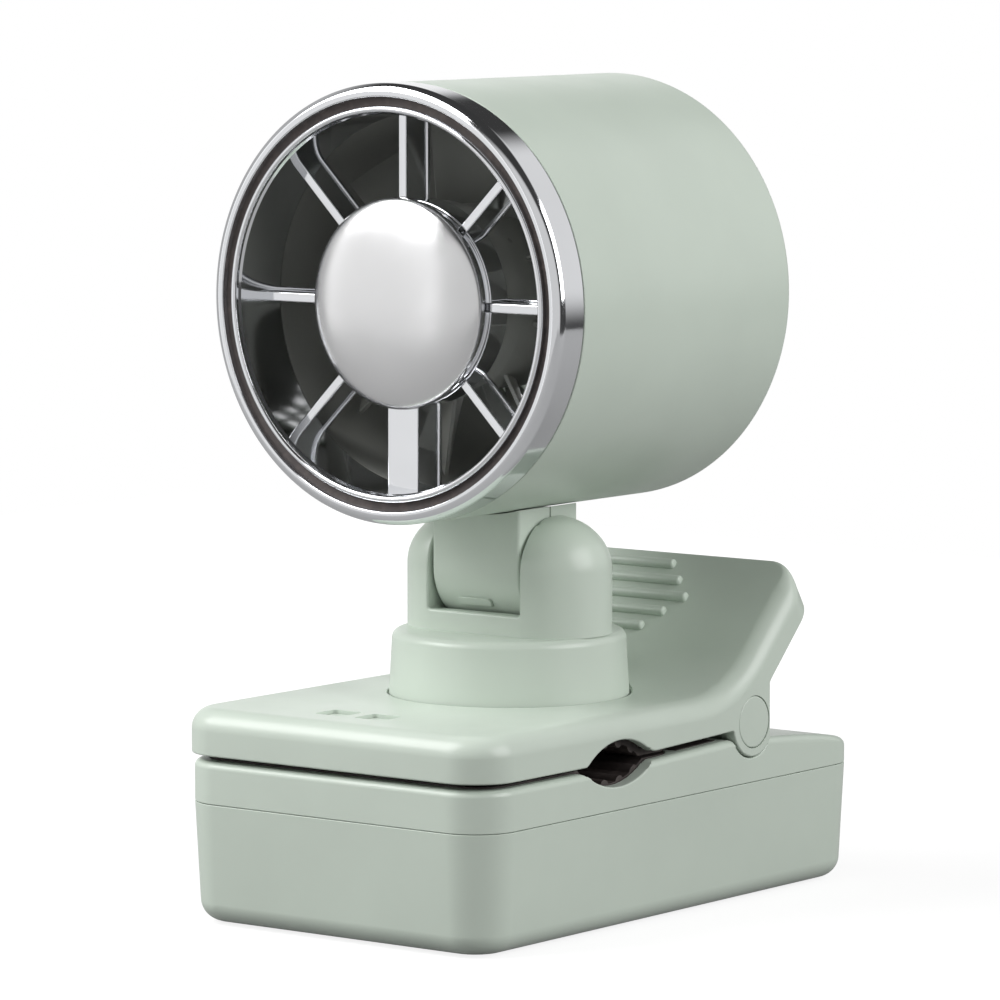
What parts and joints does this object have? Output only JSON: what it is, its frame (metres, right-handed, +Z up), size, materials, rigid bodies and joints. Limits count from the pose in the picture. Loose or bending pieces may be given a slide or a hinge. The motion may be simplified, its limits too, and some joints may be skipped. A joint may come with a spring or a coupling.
{
  "type": "clip fan",
  "caption": "Small rechargeable clip fan: drum-shaped head with a chrome front grille on a tilting neck and a turntable, carried by a sprung clip whose lower half is the battery base.",
  "frame": {"origin": "on the resting plane under the pan axis", "axes": "+X to the fan's left-hand side as it faces out, -Y the way the air leaves, +Z up"},
  "size_m": [0.09, 0.1347, 0.1736],
  "materials": {
    "sage_plastic": "semi-gloss moulded plastic, sage green",
    "blade_plastic": "moulded plastic, sage green",
    "inner_plastic": "matte moulded plastic",
    "rubber": "matte ribbed rubber",
    "chrome": "polished plating",
    "satin_aluminium": "satin brushed",
    "steel": "plain steel",
    "copper": "enamelled copper windings on a laminated core",
    "board": "printed circuit board",
    "cell_wrap": "shrink wrap",
    "nylon": "natural nylon",
    "lens": "translucent lens",
    "magnet": "bonded magnet"
  },
  "bodies": {
    "lower_body": {"lower_shell": "sage_plastic", "lower_cover": "sage_plastic", "lower_pad": "rubber", "base_pad": "rubber", "usb_port": "steel", "main_board": "board", "hinge_pin": "steel", "battery_cell_1": "cell_wrap", "battery_cell_2": "cell_wrap", "base_screw_front_left": "steel", "base_screw_rear_left": "steel", "base_screw_front_right": "steel", "base_screw_rear_right": "steel", "spring_left": "steel", "spring_right": "steel"},
    "jaw": {"upper_jaw": "sage_plastic", "jaw_liner": "inner_plastic", "upper_pad": "rubber", "lever_back": "sage_plastic", "indicator_window": "lens", "key_board": "board", "key_switch": "steel", "indicator_led": "lens", "pin_cap_left": "sage_plastic", "pin_cap_right": "sage_plastic", "jaw_screw_front_left": "steel", "jaw_screw_rear_left": "steel", "jaw_screw_front_right": "steel", "jaw_screw_rear_right": "steel", "lever_screw_left": "steel", "lever_screw_right": "steel"},
    "button": {"power_button": "sage_plastic"},
    "turret": {"turntable": "sage_plastic", "yoke": "sage_plastic", "pan_washer": "steel", "pan_screw": "steel", "tilt_axle": "steel", "axle_plug": "sage_plastic", "yoke_screw_left": "steel", "yoke_screw_right": "steel"},
    "head": {"neck_front": "sage_plastic", "neck_rear": "sage_plastic", "tilt_bush": "nylon", "drum_shell": "sage_plastic", "front_grille": "chrome", "hub_dome": "satin_aluminium", "air_duct": "inner_plastic", "rear_grille": "sage_plastic", "motor_mount": "steel", "stator": "copper", "bearing_front": "steel", "bearing_rear": "steel", "neck_screw_front": "steel", "neck_screw_rear": "steel"},
    "fan_wheel": {"rotor": "blade_plastic", "motor_shaft": "steel", "magnet_ring": "magnet"}
  },
  "joints": [
    {"name": "clip_open", "type": "hinge", "parent": "lower_body", "child": "jaw", "pos_m": [0, 0.0318, 0.0383], "axis": [-1, 0, 0], "range_deg": [0, 32], "stiffness_Nm_per_rad": 0.9, "springref_deg": -34.38, "deforming": ["spring_left", "spring_right"]},
    {"name": "power_press", "type": "slide", "parent": "jaw", "child": "button", "axis": [0, 0, -1], "range_m": [0, 0.0005], "stiffness_N_per_m": 400},
    {"name": "pan", "type": "hinge", "parent": "jaw", "child": "turret", "pos_m": [0, 0, 0.045], "axis": [0, 0, 1], "range_deg": [-90, 90]},
    {"name": "tilt", "type": "hinge", "parent": "turret", "child": "head", "pos_m": [0, 0, 0.0716], "axis": [1, 0, 0], "range_deg": [-30, 40]},
    {"name": "rotor_spin", "type": "hinge", "parent": "head", "child": "fan_wheel", "pos_m": [0, 0, 0.1286], "axis": [0, 1, 0], "continuous": true}
  ]
}
